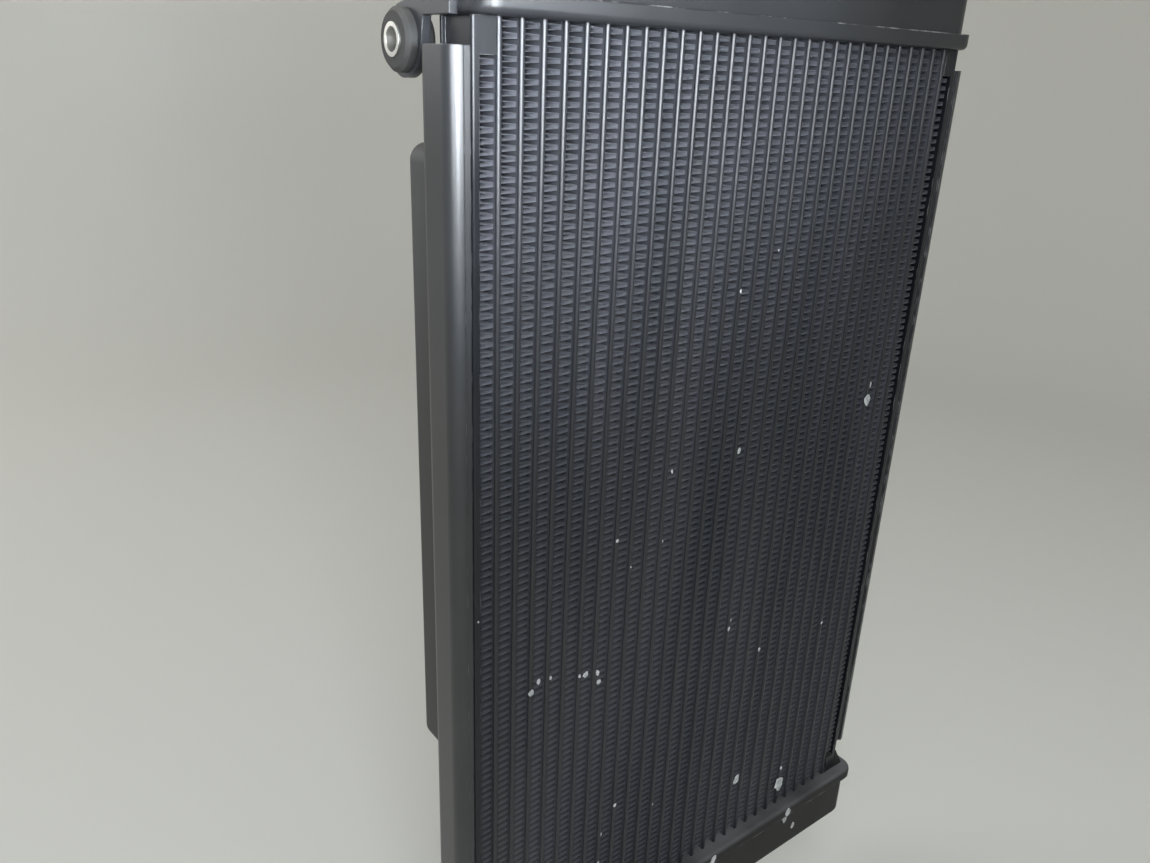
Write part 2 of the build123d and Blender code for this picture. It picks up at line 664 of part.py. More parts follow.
def all_pieces():
    return {
        "core_tubes": core_tubes(),
        "core_fins": core_fins(),
        "upper_header": header(upper_header_half, core_top, 1),
        "lower_header": header(lower_header_half, core_bottom, -1),
        "top_tank": top_tank(),
        "bottom_tank": bottom_tank(),
        "inlet_spigot": spigot(INLET_X, core_top + INLET_HEIGHT),
        "outlet_spigot": spigot(OUTLET_X, core_bottom - OUTLET_DROP),
        "filler_neck": filler_neck(),
        "cap_shell": cap_shell(),
        "lower_eye": lower_eye(),
        "lower_grommet": lower_eye_place * grommet(),
        "lower_collar": lower_eye_place * collar(),
        "fan_shroud": fan_shroud(),
        "fan_frame": fan_frame(),
        "fan_motor": fan_motor(),
        "fan_rotor": fan_rotor(),
        "fan_shaft": fan_shaft(),
        **side_pieces(),
    }


def write(name, piece):
    solids = []
    for shape in piece if isinstance(piece, list) else [piece]:
        solids.extend(shape.solids())
    export_step(Compound(children=solids), f"parts/{name}.step")


os.makedirs("parts", exist_ok=True)
for node, shape in all_pieces().items():
    write(node, shape)
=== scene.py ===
from math import atan2, cos, pi, radians, sin, tan
from random import Random

import bmesh
import bpy
from mathutils import Euler, Matrix, Vector


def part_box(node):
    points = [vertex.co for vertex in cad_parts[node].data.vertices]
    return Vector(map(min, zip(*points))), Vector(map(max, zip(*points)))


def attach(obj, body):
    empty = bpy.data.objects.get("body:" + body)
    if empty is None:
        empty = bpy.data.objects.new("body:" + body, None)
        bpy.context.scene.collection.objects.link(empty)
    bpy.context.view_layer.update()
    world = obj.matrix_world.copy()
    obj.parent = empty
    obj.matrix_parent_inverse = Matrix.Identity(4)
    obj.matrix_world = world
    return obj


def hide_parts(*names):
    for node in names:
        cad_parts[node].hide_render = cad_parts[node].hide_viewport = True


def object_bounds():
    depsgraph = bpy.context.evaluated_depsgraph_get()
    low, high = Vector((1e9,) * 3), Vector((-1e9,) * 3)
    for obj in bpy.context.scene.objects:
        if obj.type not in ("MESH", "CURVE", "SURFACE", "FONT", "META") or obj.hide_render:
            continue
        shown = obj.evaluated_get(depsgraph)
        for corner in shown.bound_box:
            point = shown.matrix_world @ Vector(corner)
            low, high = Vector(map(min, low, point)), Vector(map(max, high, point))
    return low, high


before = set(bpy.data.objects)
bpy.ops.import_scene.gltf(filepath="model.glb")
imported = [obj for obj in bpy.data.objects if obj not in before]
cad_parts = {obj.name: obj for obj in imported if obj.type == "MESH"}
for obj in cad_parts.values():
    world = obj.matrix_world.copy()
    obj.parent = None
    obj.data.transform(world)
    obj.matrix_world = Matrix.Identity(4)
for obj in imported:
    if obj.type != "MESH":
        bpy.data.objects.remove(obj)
cad_low, cad_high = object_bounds()


# Camera: a wide lens close to the core's upper left corner, looking to the right and down.
# The sensor is 36 mm wide, and the lens is not shifted. The turn is in degrees.
CAMERA_PLACE = (-0.23283, -0.21920, 0.37236)
CAMERA_TURN = (68.3524, -2.0702, -36.9114)

camera_data = bpy.data.cameras.new("camera")
camera_data.sensor_fit = "HORIZONTAL"
camera_data.sensor_width = 36.0
camera_data.lens = 28.587
camera_data.clip_start = 0.005
camera = bpy.data.objects.new("camera", camera_data)
camera_turn = Euler([radians(angle) for angle in CAMERA_TURN])
camera.matrix_world = Matrix.LocRotScale(Vector(CAMERA_PLACE), camera_turn, None)
bpy.context.collection.objects.link(camera)
bpy.context.scene.camera = camera
bpy.context.scene.view_settings.view_transform = "Standard"


# Studio: a round paper sweep of matt off-white stock lies under the radiator and curves up
# into its wall. Its floor stays just under the lowest mounting.
FLOOR_GAP = 0.002
SWEEP_RADIUS = 1.5
SWEEP_HEIGHT = 1.3
SWEEP_BEND = 0.55

sweep_shape = bmesh.new()
bmesh.ops.create_circle(sweep_shape, cap_ends=True, segments=96, radius=SWEEP_RADIUS)
rim = [edge for edge in sweep_shape.edges if edge.is_boundary]
wall = bmesh.ops.extrude_edge_only(sweep_shape, edges=rim)["geom"]
wall_top = [part for part in wall if isinstance(part, bmesh.types.BMVert)]
bmesh.ops.translate(sweep_shape, vec=(0, 0, SWEEP_HEIGHT), verts=wall_top)
corner = [edge for edge in sweep_shape.edges if len(edge.link_faces) == 2 and edge in rim]
bmesh.ops.bevel(
    sweep_shape, geom=corner, offset=SWEEP_BEND, offset_type="OFFSET", segments=12,
    profile=0.5, affect="EDGES", material=-1,
)
bmesh.ops.translate(sweep_shape, vec=(0, 0, cad_low.z - FLOOR_GAP), verts=sweep_shape.verts)
bmesh.ops.recalc_face_normals(sweep_shape, faces=sweep_shape.faces)
for face in sweep_shape.faces:
    face.smooth = True
sweep_mesh = bpy.data.meshes.new("paper_sweep")
sweep_shape.to_mesh(sweep_mesh)
sweep_shape.free()
paper_sweep = bpy.data.objects.new("paper_sweep", sweep_mesh)
bpy.context.collection.objects.link(paper_sweep)

paper = bpy.data.materials.new("paper")
paper.use_nodes = True
paper_shader = paper.node_tree.nodes["Principled BSDF"]
paper_shader.inputs["Base Color"].default_value = (0.70, 0.69, 0.64, 1)
paper_shader.inputs["Roughness"].default_value = 0.9
sweep_mesh.materials.append(paper)

# The room round the sweep: dim for what lights the radiator, pale for what it mirrors. A ray
# from the camera, off a glossy face or through a clear one meets the pale wall.
ROOM_LIGHT = 0.22
ROOM_TINT = (0.96, 0.98, 1.0, 1)
ROOM_WALL = (0.74, 0.74, 0.72, 1)


def node(tree, kind, links=(), **settings):
    """A shader node. links are (input, value or output socket) pairs, settings its properties."""
    made = tree.nodes.new("ShaderNode" + kind)
    for key, value in settings.items():
        setattr(made, key, value)
    for socket, source in links:
        if isinstance(source, (int, float, tuple)):
            made.inputs[socket].default_value = source
        else:
            tree.links.new(source, made.inputs[socket])
    return made


def maths(tree, operation, *values):
    """The output of a Math node."""
    return node(tree, "Math", tuple(enumerate(values)), operation=operation).outputs[0]


room = bpy.data.worlds.new("room")
bpy.context.scene.world = room
room.use_nodes = True
room_tree = room.node_tree
room_light = room_tree.nodes["Background"]
room_light.inputs["Color"].default_value = ROOM_TINT
room_light.inputs["Strength"].default_value = ROOM_LIGHT
room_wall = node(room_tree, "Background", (("Color", ROOM_WALL),))
ray = node(room_tree, "LightPath").outputs
direct_or_glossy = maths(room_tree, "MAXIMUM", ray["Is Camera Ray"], ray["Is Glossy Ray"])
seen = maths(room_tree, "MAXIMUM", direct_or_glossy, ray["Is Transmission Ray"])
room_mix = node(
    room_tree, "MixShader", ((0, seen), (1, room_light.outputs[0]), (2, room_wall.outputs[0])),
)
room_tree.links.new(room_mix.outputs[0], room_tree.nodes["World Output"].inputs["Surface"])


# Lamps: three gridded softboxes stand side by side round the front left corner, level with the
# core's top, and draw one long streak on the round edges that fades downwards. A large one
# fills the front from above, a broad panel hangs overhead, and a weak one lights the back.
def softbox(name, place, aim, width, height, glow, tone=(1.0, 1.0, 1.0), spread=180.0):
    """An area lamp. glow is how bright its cloth looks from ahead, where white paper is 1.

    A grid narrows the beam to spread degrees. The energy is cut too, or the cloth would gain.
    """
    light = bpy.data.lights.new(name, "AREA")
    light.shape = "RECTANGLE"
    light.size = width
    light.size_y = height
    light.energy = glow * pi * width * height
    light.color = tone
    if spread < 180.0:
        half = radians(spread / 2)
        light.spread = 2 * half
        light.energy *= (tan(half) - half) / tan(half)
    lamp = bpy.data.objects.new(name, light)
    away = Vector(place) - Vector(aim)
    lamp.matrix_world = Matrix.LocRotScale(Vector(place), away.to_track_quat("Z", "Y"), None)
    lamp.visible_camera = False
    bpy.context.collection.objects.link(lamp)


DAYLIGHT = (0.88, 0.94, 1.0)
UPPER_CORNER = (-0.105, 0, 0.40)
softbox("left_box", (-0.33, -0.26, 0.40), UPPER_CORNER, 0.17, 0.12, 38.0, DAYLIGHT, 44.0)
softbox("corner_box", (-0.17, -0.35, 0.40), UPPER_CORNER, 0.20, 0.12, 110.0, DAYLIGHT, 36.0)
softbox("front_box", (-0.005, -0.42, 0.40), UPPER_CORNER, 0.27, 0.12, 48.0, DAYLIGHT, 36.0)
softbox("front_fill", (-0.55, -0.70, 0.80), (0, 0, 0.22), 0.6, 0.4, 11.0, DAYLIGHT)
softbox("overhead", (-0.1, -0.15, 1.35), (0, 0, 0.3), 1.1, 1.1, 0.7)
softbox("rear_fill", (-0.75, 1.0, 0.75), (0, 0, 0.25), 0.9, 0.7, 2.2)


# Core tubes: flat coolant tubes, rolled and welded from thin aluminium strip, then brazed
# into both headers. Their round noses stand a little ahead of the fins. The whole core is
# dipped in a thin black enamel that shines on the noses and dries dull between the fins,
# where it is also painted paler, as painted light that fills the shade there.
MM = 0.001
TUBE_COUNT = 29
TUBE_PITCH = 7.0 * MM
TUBE_NOSE_RADIUS = 0.8 * MM


def shader_group(name, inputs, outputs):
    """An empty node group with its sockets. Returns (group, input node, output node)."""
    group = bpy.data.node_groups.new(name, "ShaderNodeTree")
    for socket, kind, value in inputs:
        made = group.interface.new_socket(socket, in_out="INPUT", socket_type="NodeSocket" + kind)
        if value is not None:
            made.default_value = value
    for socket, kind in outputs:
        group.interface.new_socket(socket, in_out="OUTPUT", socket_type="NodeSocket" + kind)
    return group, group.nodes.new("NodeGroupInput"), group.nodes.new("NodeGroupOutput")


def use_group(tree, group, **values):
    """Places a node group, with a value or an output socket for each of its inputs."""
    return node(tree, "Group", tuple(values.items()), node_tree=group)


def ranged(tree, value, low, high, to_low=0.0, to_high=1.0):
    """Maps low and high to to_low and to_high, and stops at them."""
    limits = (("From Min", low), ("From Max", high), ("To Min", to_low), ("To Max", to_high))
    return node(tree, "MapRange", (("Value", value), *limits)).outputs[0]


def noise(tree, place, scale, detail):
    """A noise texture. scale is its waves to the metre, and detail its octaves."""
    links = (("Vector", place), ("Scale", scale), ("Detail", detail))
    return node(tree, "TexNoise", links).outputs[0]


def mixed(tree, share, under, over):
    """A colour between two. A share of 1 is all over."""
    return node(tree, "MixRGB", ((0, share), (1, under), (2, over))).outputs[0]


# Grain of a sprayed or dipped coat: fine orange peel, and broad cloudy patches.
coat_grain, given, result = shader_group(
    "coat_grain",
    (("Place", "Vector", None), ("Grain", "Float", 900.0), ("Patches", "Float", 14.0)),
    (("Peel", "Float"), ("Cloud", "Float")),
)
peel = noise(coat_grain, given.outputs["Place"], given.outputs["Grain"], 3.0)
cloud = noise(coat_grain, given.outputs["Place"], given.outputs["Patches"], 5.0)
coat_grain.links.new(peel, result.inputs["Peel"])
coat_grain.links.new(cloud, result.inputs["Cloud"])

# Edges: the rounding that a coat gives them, and where it is rubbed thin.
worn_edges, given, result = shader_group(
    "worn_edges",
    (("Place", "Vector", None), ("Rounding", "Float", 0.0004), ("Spots", "Float", 160.0)),
    (("Rounded", "Vector"), ("Rubbed", "Float")),
)
rounded = node(worn_edges, "Bevel", (("Radius", given.outputs["Rounding"]),), samples=6)
flat = node(worn_edges, "NewGeometry")
alike = node(
    worn_edges, "VectorMath",
    ((0, rounded.outputs[0]), (1, flat.outputs["Normal"])), operation="DOT_PRODUCT",
)
bent = ranged(worn_edges, alike.outputs["Value"], 0.97, 0.80)
spots = noise(worn_edges, given.outputs["Place"], given.outputs["Spots"], 4.0)
bare = ranged(worn_edges, spots, 0.52, 0.70)
worn_edges.links.new(rounded.outputs[0], result.inputs["Rounded"])
worn_edges.links.new(maths(worn_edges, "MULTIPLY", bent, bare), result.inputs["Rubbed"])

# Road dust: a thin film that lies on what faces up, in patches.
road_dust, given, result = shader_group(
    "road_dust",
    (
        ("Place", "Vector", None), ("Patches", "Float", 30.0), ("Cover", "Float", 0.5),
        ("Gaps", "Float", 0.38),
    ),
    (("Film", "Float"),),
)
facing = node(road_dust, "NewGeometry")
upness = node(road_dust, "SeparateXYZ", ((0, facing.outputs["Normal"]),))
lying = ranged(road_dust, upness.outputs["Z"], 0.1, 0.9, 0.05)
patches = noise(road_dust, given.outputs["Place"], given.outputs["Patches"], 6.0)
thick = ranged(road_dust, patches, given.outputs["Gaps"], 0.72)
film = maths(road_dust, "MULTIPLY", lying, thick)
dusted = maths(road_dust, "MULTIPLY", film, given.outputs["Cover"])
road_dust.links.new(dusted, result.inputs["Film"])


def coating(
    name, deep, pale, gloss, cover, grain, peel, patches, rounding, ior=1.5,
    dust=(0.16, 0.15, 0.13), gaps=0.38, bare=(0.45, 0.45, 0.46), metal=0.0, bare_metal=0.8,
    stretch=None,
):
    """A coat whose colour drifts from deep to pale and whose roughness drifts over gloss.

    cover and gaps set how much of it the dust hides. grain and patches are noise scales, and
    peel is the depth of its orange peel. rounding is how far edges are rounded, in mm. Where
    they are rubbed through, bare and bare_metal show. stretch draws the grain out.
    """
    material = bpy.data.materials.new(name)
    material.use_nodes = True
    tree = material.node_tree
    shader = tree.nodes["Principled BSDF"]
    shader.inputs["IOR"].default_value = ior
    place = node(tree, "TexCoord").outputs["Object"]
    drawn = place
    if stretch:
        drawn = node(tree, "Mapping", (("Vector", place), ("Scale", stretch))).outputs[0]
    grains = use_group(tree, coat_grain, Place=drawn, Grain=grain, Patches=patches).outputs
    edges = use_group(tree, worn_edges, Place=place, Rounding=rounding * MM).outputs
    film = use_group(tree, road_dust, Place=drawn, Cover=cover, Gaps=gaps).outputs["Film"]
    paint = mixed(tree, ranged(tree, grains["Cloud"], 0.35, 0.65), (*deep, 1), (*pale, 1))
    rubbed = mixed(tree, edges["Rubbed"], paint, (*bare, 1))
    dusty = mixed(tree, film, rubbed, (*dust, 1))
    tree.links.new(dusty, shader.inputs["Base Color"])
    rough = ranged(tree, grains["Cloud"], 0.3, 0.7, *gloss)
    duller = maths(tree, "MULTIPLY_ADD", film, 0.5, rough)
    tree.links.new(duller, shader.inputs["Roughness"])
    if bare_metal != metal:
        shown_metal = ranged(tree, edges["Rubbed"], 0.0, 1.0, metal, bare_metal)
        tree.links.new(shown_metal, shader.inputs["Metallic"])
    else:
        shader.inputs["Metallic"].default_value = metal
    bump = node(
        tree, "Bump",
        (
            ("Strength", peel), ("Distance", 0.1 * MM), ("Height", grains["Peel"]),
            ("Normal", edges["Rounded"]),
        ),
    )
    tree.links.new(bump.outputs[0], shader.inputs["Normal"])
    return material


def add_block(shape, low, high):
    """Adds a block between two corners to a bmesh and returns its vertices."""
    low, high = Vector(low), Vector(high)
    made = bmesh.ops.create_cube(shape, size=1.0)["verts"]
    bmesh.ops.scale(shape, vec=high - low, verts=made)
    bmesh.ops.translate(shape, vec=(low + high) / 2, verts=made)
    return made


def edges_along(verts, axis):
    """Edges between these vertices that run along one axis, 0 to 2."""
    inside = set(verts)
    edges = {edge for vert in verts for edge in vert.link_edges}
    found = []
    for edge in edges:
        run = edge.verts[1].co - edge.verts[0].co
        if all(vert in inside for vert in edge.verts) and abs(run[axis]) > 0.999 * run.length:
            found.append(edge)
    return found


def round_off(shape, edges, radius, segments=3):
    """Rounds edges of a bmesh."""
    bmesh.ops.bevel(
        shape, geom=edges, offset=radius, offset_type="OFFSET", segments=segments,
        profile=0.5, affect="EDGES", material=-1,
    )


def fitted(name, shape, body, finish, crease=35):
    """Turns a bmesh into a piece with its finish, riding on a body."""
    bmesh.ops.remove_doubles(shape, verts=shape.verts, dist=1e-7)
    bmesh.ops.recalc_face_normals(shape, faces=shape.faces)
    for face in shape.faces:
        face.smooth = True
    for edge in shape.edges:
        edge.smooth = edge.calc_face_angle(0.0) < radians(crease)
    mesh = bpy.data.meshes.new(name)
    shape.to_mesh(mesh)
    shape.free()
    mesh.materials.append(finish)
    piece = bpy.data.objects.new(name, mesh)
    bpy.context.collection.objects.link(piece)
    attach(piece, body)
    return piece


def repeated(piece, name, count, step, merge=False):
    """Lays out copies of a piece in a row, one step apart."""
    row = piece.modifiers.new(name, "ARRAY")
    row.use_relative_offset = False
    row.use_constant_offset = True
    row.constant_offset_displace = step
    row.count = count
    row.use_merge_vertices = merge
    row.merge_threshold = 1e-6


nose_enamel = coating(
    "nose_enamel", (0.008, 0.009, 0.012), (0.015, 0.016, 0.020), (0.28, 0.36), cover=0.2,
    grain=1400.0, peel=0.15, patches=40.0, rounding=0.1, stretch=(1.0, 1.0, 0.15),
)
# Painted light: the fins' coat is the same dipped enamel, rougher, but several times paler than on
# the noses, filling in the shade deep between the folds.
foil_enamel_painted_light = coating(
    "foil_enamel_painted_light", (0.038, 0.041, 0.048), (0.058, 0.060, 0.071), (0.66, 0.80), cover=0.4,
    grain=1100.0, peel=0.2, patches=34.0, rounding=0.05, stretch=(1.0, 1.0, 0.2), ior=1.35,
)
tubes_low, tubes_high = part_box("core_tubes")
tube_thickness = tubes_high.x - tubes_low.x - (TUBE_COUNT - 1) * TUBE_PITCH
tube_shape = bmesh.new()
tube = add_block(
    tube_shape, tubes_low, (tubes_low.x + tube_thickness, tubes_high.y, tubes_high.z)
)
round_off(tube_shape, edges_along(tube, 2), TUBE_NOSE_RADIUS, 5)
tube_row = fitted("tube_row", tube_shape, "radiator", nose_enamel)

# Only the noses shine. The tubes' flat sides have the fins' dull coat, with its painted light.
tube_row.data.materials.append(foil_enamel_painted_light)
for face in tube_row.data.polygons:
    face.material_index = 1 if abs(face.normal.x) > 0.99 else 0
repeated(tube_row, "across", TUBE_COUNT, (TUBE_PITCH, 0, 0))
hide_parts("core_tubes")


# Fins: one strip of thin aluminium foil for each gap, folded in a zigzag and brazed to the
# tubes on both sides. Its folds cross the gap nearly level. The two outer strips are shorter,
# because the side plates' corner tabs cover their ends.
FIN_FOLD = 2.75 * MM
FIN_FLAT = 1.2 * MM
FOIL_THICKNESS = 0.20 * MM
FIN_CLEARANCE = 0.06 * MM
FIN_SETBACK = 0.7 * MM
TAB_HEIGHT = 9.1 * MM
fins_low, fins_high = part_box("core_fins")


def fin_strips(name, left, low, high, count, step):
    """Folded strips in a row. left is the middle of the first gap."""
    folds = round((high - low) / FIN_FOLD)
    fold = (high - low) / folds
    half = (TUBE_PITCH - tube_thickness) / 2 - FIN_CLEARANCE - FOIL_THICKNESS / 2
    depth = fins_high.y - fins_low.y - 2 * FIN_SETBACK
    shape = bmesh.new()
    path = (
        (-half, 0), (-half, FIN_FLAT), (half, fold / 2), (half, fold / 2 + FIN_FLAT),
        (-half, fold),
    )
    front = fins_low.y + FIN_SETBACK
    corners = [shape.verts.new((left + x, front, low + z)) for x, z in path]
    line = [shape.edges.new(pair) for pair in zip(corners, corners[1:])]
    drawn = bmesh.ops.extrude_edge_only(shape, edges=line)["geom"]
    back = [part for part in drawn if isinstance(part, bmesh.types.BMVert)]
    bmesh.ops.translate(shape, vec=(0, depth, 0), verts=back)
    strips = fitted(name, shape, "radiator", foil_enamel_painted_light, crease=20)
    repeated(strips, "folds", folds, (0, 0, fold), merge=True)
    foil = strips.modifiers.new("foil", "SOLIDIFY")
    foil.thickness = FOIL_THICKNESS
    foil.offset = 0.0
    repeated(strips, "across", count, (step, 0, 0))
    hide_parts("core_fins")


first_gap = tubes_low.x + tube_thickness / 2 + TUBE_PITCH / 2
fin_strips("fin_strips", first_gap, fins_low.z, fins_high.z, TUBE_COUNT - 1, TUBE_PITCH)
fin_strips(
    "outer_fin_strips", first_gap - TUBE_PITCH, fins_low.z + TAB_HEIGHT,
    fins_high.z - TAB_HEIGHT, 2, TUBE_COUNT * TUBE_PITCH,
)


# Dried splashes: chalky road spray that has run and dried on the tubes' noses and the fins.
# The flakes are thin and ragged, one to nine millimetres long. Each is listed as its place
# across, its height and its length, in millimetres.
SPLASHES = (
    (83.2, 248.6, 6.1), (86.6, 254.2, 2.9), (-82.8, 172.8, 2.7), (-79.9, 174.9, 2.6),
    (-74.8, 174.4, 2.2), (-63.8, 171.0, 2.0), (-59.1, 169.1, 2.8), (-53.5, 167.6, 3.0),
    (-52.8, 163.3, 2.4), (-24.1, 241.2, 1.8), (-47.9, 221.5, 1.5), (-26.2, 213.8, 1.5),
    (-41.9, 208.9, 0.9), (-103.6, 209.1, 0.9), (18.9, 315.9, 1.2), (0.6, 303.7, 1.5),
    (9.9, 241.6, 2.9), (15.5, 168.2, 2.2), (15.2, 162.1, 2.3), (16.0, 164.7, 2.0),
    (78.0, 141.9, 1.7), (35.6, 143.9, 2.2), (-40.9, 100.3, 1.9), (-20.7, 89.3, 1.1),
    (-47.2, 86.8, 2.0), (-48.6, 74.3, 1.3), (33.0, 73.3, 6.2), (64.0, 55.8, 9.0),
    (63.0, 65.5, 2.6),
)
FLAKE_THICKNESS = 0.16 * MM

chalk = coating(
    "chalk", (0.32, 0.33, 0.34), (0.62, 0.63, 0.64), (0.72, 0.88), cover=0.0, grain=2400.0,
    peel=0.6, patches=300.0, rounding=0.1, bare=(0.6, 0.6, 0.6), bare_metal=0.0,
)
chance = Random(7)


def flake(shape, x, y, z, length):
    """One ragged flake that lies against a front face at depth y."""
    made = bmesh.ops.create_icosphere(shape, subdivisions=2, radius=1.0)["verts"]
    size = (length * chance.uniform(0.28, 0.5), FLAKE_THICKNESS, length / 2)
    bmesh.ops.scale(shape, vec=size, verts=made)
    for vert in made:
        vert.co.x *= chance.uniform(0.6, 1.15)
        vert.co.z *= chance.uniform(0.75, 1.1)
    lean = Matrix.Rotation(radians(chance.uniform(-24, 24)), 3, "Y")
    bmesh.ops.rotate(shape, matrix=lean, cent=(0, 0, 0), verts=made)
    bmesh.ops.translate(shape, vec=(x * MM, y, z * MM), verts=made)


flakes = bmesh.new()
for x, z, length in SPLASHES:
    nearest = round(x * MM / TUBE_PITCH) * TUBE_PITCH
    on_nose = abs(x * MM - nearest) < tube_thickness * 0.8
    depth = tubes_low.y if on_nose else fins_low.y + FIN_SETBACK
    place = nearest / MM if on_nose else x
    flake(flakes, place, depth, z, length * MM)
fitted("dried_splashes", flakes, "radiator", chalk, crease=60)


# Enamelled structure: side plates, posts, gussets, headers, tanks, eyes, spigots and the
# filler neck are aluminium pressings and tubes, brazed or welded, then sprayed black. Posts
# and side plates shine most, though the side plates' enamel is painted darker and reflects
# less, as painted shade. Road spray has dulled the lower tray and tank and dusts them. Their
# enamel, and that of the gussets and the lower eye, is also painted darker and reflects less,
# as painted shade.
black_enamel = coating(
    "black_enamel", (0.011, 0.012, 0.014), (0.019, 0.020, 0.023), (0.27, 0.36), cover=0.6,
    grain=700.0, peel=0.2, patches=11.0, rounding=0.45, ior=1.45,
)
post_enamel = coating(
    "post_enamel", (0.009, 0.010, 0.012), (0.016, 0.017, 0.020), (0.27, 0.36), cover=0.6,
    grain=700.0, peel=0.2, patches=11.0, rounding=0.45, ior=1.62,
)
# Painted shade: this copy of the enamel is darker and reflects less, for the gussets, the lower
# tray, the bottom tank and the lower eye. Its pale film is road dust.
dusty_enamel_painted_shade = coating(
    "dusty_enamel_painted_shade", (0.006, 0.006, 0.006), (0.011, 0.011, 0.010), (0.42, 0.55), cover=0.32,
    dust=(0.50, 0.50, 0.52), grain=700.0, peel=0.25, patches=18.0, rounding=0.45, ior=1.3,
    gaps=0.1,
)
# Painted shade: the side plates' enamel is darker and reflects less than the rest, for the shade
# under the upper header's overhang on their corner tabs.
plate_enamel_painted_shade = coating(
    "plate_enamel_painted_shade", (0.006, 0.007, 0.009), (0.011, 0.012, 0.015), (0.20, 0.26), cover=0.3,
    grain=700.0, peel=0.2, patches=16.0, rounding=0.35, ior=1.33,
)


def finished(material, *names):
    """Gives CAD nodes their finish."""
    for name in names:
        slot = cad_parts[name].material_slots[0]
        slot.link = "OBJECT"
        slot.material = material


finished(plate_enamel_painted_shade, "side_plate_left", "side_plate_right")
finished(post_enamel, "side_post_left", "side_post_right")
finished(
    black_enamel,
    "top_tank", "inlet_spigot", "outlet_spigot", "filler_neck",
    "upper_eye_left", "upper_eye_right",
)
finished(
    dusty_enamel_painted_shade,
    "header_gusset_left", "header_gusset_right", "bottom_tank", "lower_eye",
)


# Header trays: pressed from aluminium sheet, with a round bend between the floor and the rim
# that stands round the tank's foot. They are enamelled with the tanks.
TRAY_CORNER = 6.5 * MM
TRAY_BEND = 1.9 * MM
TRAY_WALL = 2.0 * MM
TRAY_FLOOR = 1.8 * MM


def header_tray(name, stands_for, outward, finish):
    """A tray whose rim points outward, 1 for up and -1 for down."""
    low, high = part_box(stands_for)
    shape = bmesh.new()
    round_off(shape, edges_along(add_block(shape, low, high), 2), TRAY_CORNER, 8)
    core_side = low.z if outward > 0 else high.z
    bend = [
        edge for edge in shape.edges
        if all(abs(vert.co.z - core_side) < 1e-7 for vert in edge.verts)
    ]
    round_off(shape, bend, TRAY_BEND, 5)
    rim = max(shape.faces, key=lambda face: outward * face.calc_center_median().z)
    bmesh.ops.inset_region(shape, faces=[rim], thickness=TRAY_WALL, use_even_offset=True)
    depth = high.z - low.z - TRAY_FLOOR
    bmesh.ops.translate(shape, vec=(0, 0, -outward * depth), verts=rim.verts)
    tray = fitted(name, shape, "radiator", finish, crease=30)
    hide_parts(stands_for)


header_tray("upper_tray", "upper_header", 1, black_enamel)
header_tray("lower_tray", "lower_header", -1, dusty_enamel_painted_shade)


# Low splashes: the same chalky spray, dried on the lower tray's rim and on the bottom tank.
# Each is listed in the same way.
LOW_SPLASHES = ((66.0, 41.0, 5.4), (67.0, 34.0, 5.2), (74.5, 26.4, 4.4), (15.0, 41.0, 6.0))
tray_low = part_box("lower_header")[0]
tank_low, tank_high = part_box("bottom_tank")

low_flakes = bmesh.new()
for x, z, length in LOW_SPLASHES:
    depth = tray_low.y if z * MM > tray_low.z else tank_low.y
    flake(low_flakes, x, depth, z, length * MM)
fitted("low_splashes", low_flakes, "radiator", chalk, crease=60)


# Weld beads: rippled rings of aluminium weld that fix each spigot and the filler neck to
# their tanks. The tanks' enamel covers them.
BEAD_SIZE = 1.25 * MM
BEAD_RIPPLE = 0.2
BEAD_RIPPLES = 26
FOOT_RADIUS = 10.3 * MM
STEM_RADIUS = 9.9 * MM
TANK_ROUNDING = 8.0 * MM
top_tank_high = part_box("top_tank")[1]


def weld_bead(name, middle, axis, radius, sag=None):
    """A rippled ring of weld. sag gives how far it drops at a distance from the middle, in y."""
    middle, axis = Vector(middle), Vector(axis)
    shape = bmesh.new()
    stand = Matrix.Rotation(pi / 2 * axis.z, 4, "X")
    start = Matrix.Translation(middle + Vector((radius, 0, 0))) @ stand
    bmesh.ops.create_circle(shape, segments=8, radius=BEAD_SIZE, matrix=start)
    bmesh.ops.spin(
        shape, geom=shape.verts[:] + shape.edges[:], cent=middle, axis=axis, angle=2 * pi,
        steps=BEAD_RIPPLES * 4, use_merge=True,
    )
    for vert in shape.verts:
        arm = vert.co - middle
        arm -= arm.dot(axis) * axis
        turn = atan2(arm.dot(axis.cross(Vector((1, 0, 0)))), arm.x)
        core = middle + arm.normalized() * radius
        vert.co = core + (vert.co - core) * (1 + BEAD_RIPPLE * cos(BEAD_RIPPLES * turn))
        if sag:
            vert.co.z -= sag(abs(core.y - middle.y))
    fitted(name, shape, "radiator", black_enamel, crease=60)


def shoulder(distance):
    """How far the top tank's rounded shoulder lies under its ridge."""
    past = max(0.0, distance - (top_tank_high.y - TANK_ROUNDING))
    return TANK_ROUNDING - (TANK_ROUNDING ** 2 - min(past, TANK_ROUNDING) ** 2) ** 0.5


def middle_of(name):
    """The middle of a CAD node's box."""
    low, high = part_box(name)
    return (low + high) / 2


inlet_middle = middle_of("inlet_spigot")
outlet_middle = middle_of("outlet_spigot")
inlet_foot = (inlet_middle.x, top_tank_high.y, inlet_middle.z)
outlet_foot = (outlet_middle.x, tank_high.y, outlet_middle.z)
neck_foot = (middle_of("filler_neck").x, 0, top_tank_high.z)
weld_bead("inlet_weld", inlet_foot, (0, 1, 0), FOOT_RADIUS)
weld_bead("outlet_weld", outlet_foot, (0, 1, 0), FOOT_RADIUS)
weld_bead("neck_weld", neck_foot, (0, 0, 1), STEM_RADIUS, shoulder)


